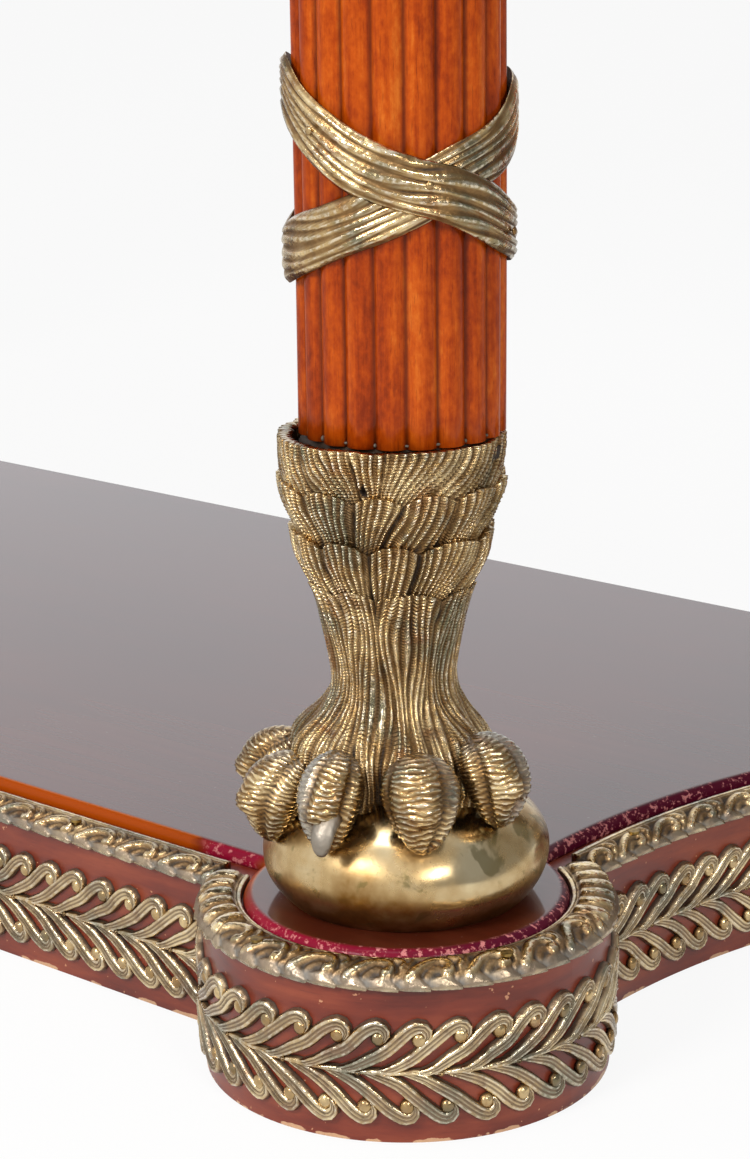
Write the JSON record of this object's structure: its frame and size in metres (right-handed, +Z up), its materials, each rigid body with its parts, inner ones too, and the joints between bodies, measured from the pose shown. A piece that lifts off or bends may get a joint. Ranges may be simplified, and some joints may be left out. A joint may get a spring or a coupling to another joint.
{
  "type": "pier table",
  "caption": "Pier table with a marble top on reeded columns with paw feet, standing on a low plinth with drum-shaped corners, flat at the back to stand against a wall.",
  "frame": {"origin": "on the floor, under the middle of the top slab's bounding box", "axes": "+X along the table's length to the right seen from the front, +Y towards the wall, +Z up"},
  "size_m": [1.2679, 0.467, 0.9],
  "materials": {
    "satin_mahogany": "mahogany veneer, old satin polish",
    "panel_mahogany": "dark mahogany, polished flat",
    "polished_mahogany": "orange-brown mahogany, french polished",
    "carcass_oak": "planed oak, unfinished",
    "gilt_bronze": "cast and chased gilt bronze, worn, dark in the hollows",
    "brass_pins": "round-headed pins, dull",
    "iron_rod": "plain turned iron",
    "marble": "polished white marble with grey veins"
  },
  "bodies": {
    "root": {"apron_back_rail": "satin_mahogany", "apron_cross_rails": "carcass_oak", "apron_drums": "satin_mahogany", "apron_front_rail": "satin_mahogany", "apron_leaf_bands": "gilt_bronze", "apron_left_rail": "satin_mahogany", "apron_right_rail": "satin_mahogany", "bun_foot_front_left": "gilt_bronze", "bun_foot_front_right": "gilt_bronze", "bun_foot_rear_left": "gilt_bronze", "bun_foot_rear_right": "gilt_bronze", "capital_front_left": "gilt_bronze", "capital_front_right": "gilt_bronze", "capital_rear_left": "gilt_bronze", "capital_rear_right": "gilt_bronze", "column_front_left": "polished_mahogany", "column_front_right": "polished_mahogany", "column_rear_left": "polished_mahogany", "column_rear_right": "polished_mahogany", "marble_top": "marble", "moulding_pins": "brass_pins", "paw_front_left": "gilt_bronze", "paw_front_right": "gilt_bronze", "paw_rear_left": "gilt_bronze", "paw_rear_right": "gilt_bronze", "plinth_back_rail": "satin_mahogany", "plinth_cross_rails": "carcass_oak", "plinth_drum_front_left": "satin_mahogany", "plinth_drum_front_right": "satin_mahogany", "plinth_drum_rear_left": "satin_mahogany", "plinth_drum_rear_right": "satin_mahogany", "plinth_front_rail": "satin_mahogany", "plinth_glue_blocks": "carcass_oak", "plinth_leaf_band_drum_front_left": "gilt_bronze", "plinth_leaf_band_drum_front_right": "gilt_bronze", "plinth_leaf_band_drum_rear_left": "gilt_bronze", "plinth_leaf_band_drum_rear_right": "gilt_bronze", "plinth_leaf_band_front": "gilt_bronze", "plinth_leaf_band_left": "gilt_bronze", "plinth_leaf_band_right": "gilt_bronze", "plinth_left_rail": "satin_mahogany", "plinth_moulding_drum_front_left": "gilt_bronze", "plinth_moulding_drum_front_right": "gilt_bronze", "plinth_moulding_drum_rear_left": "gilt_bronze", "plinth_moulding_drum_rear_right": "gilt_bronze", "plinth_moulding_front": "gilt_bronze", "plinth_moulding_left": "gilt_bronze", "plinth_moulding_right": "gilt_bronze", "plinth_raised_panel": "panel_mahogany", "plinth_right_rail": "satin_mahogany", "plinth_top_board": "carcass_oak", "rail_dowels": "carcass_oak", "ribbons_front_left": "gilt_bronze", "ribbons_front_right": "gilt_bronze", "ribbons_rear_left": "gilt_bronze", "ribbons_rear_right": "gilt_bronze", "tie_rod_nuts": "iron_rod", "tie_rod_washers": "iron_rod", "tie_rods": "iron_rod"}
  },
  "joints": []
}
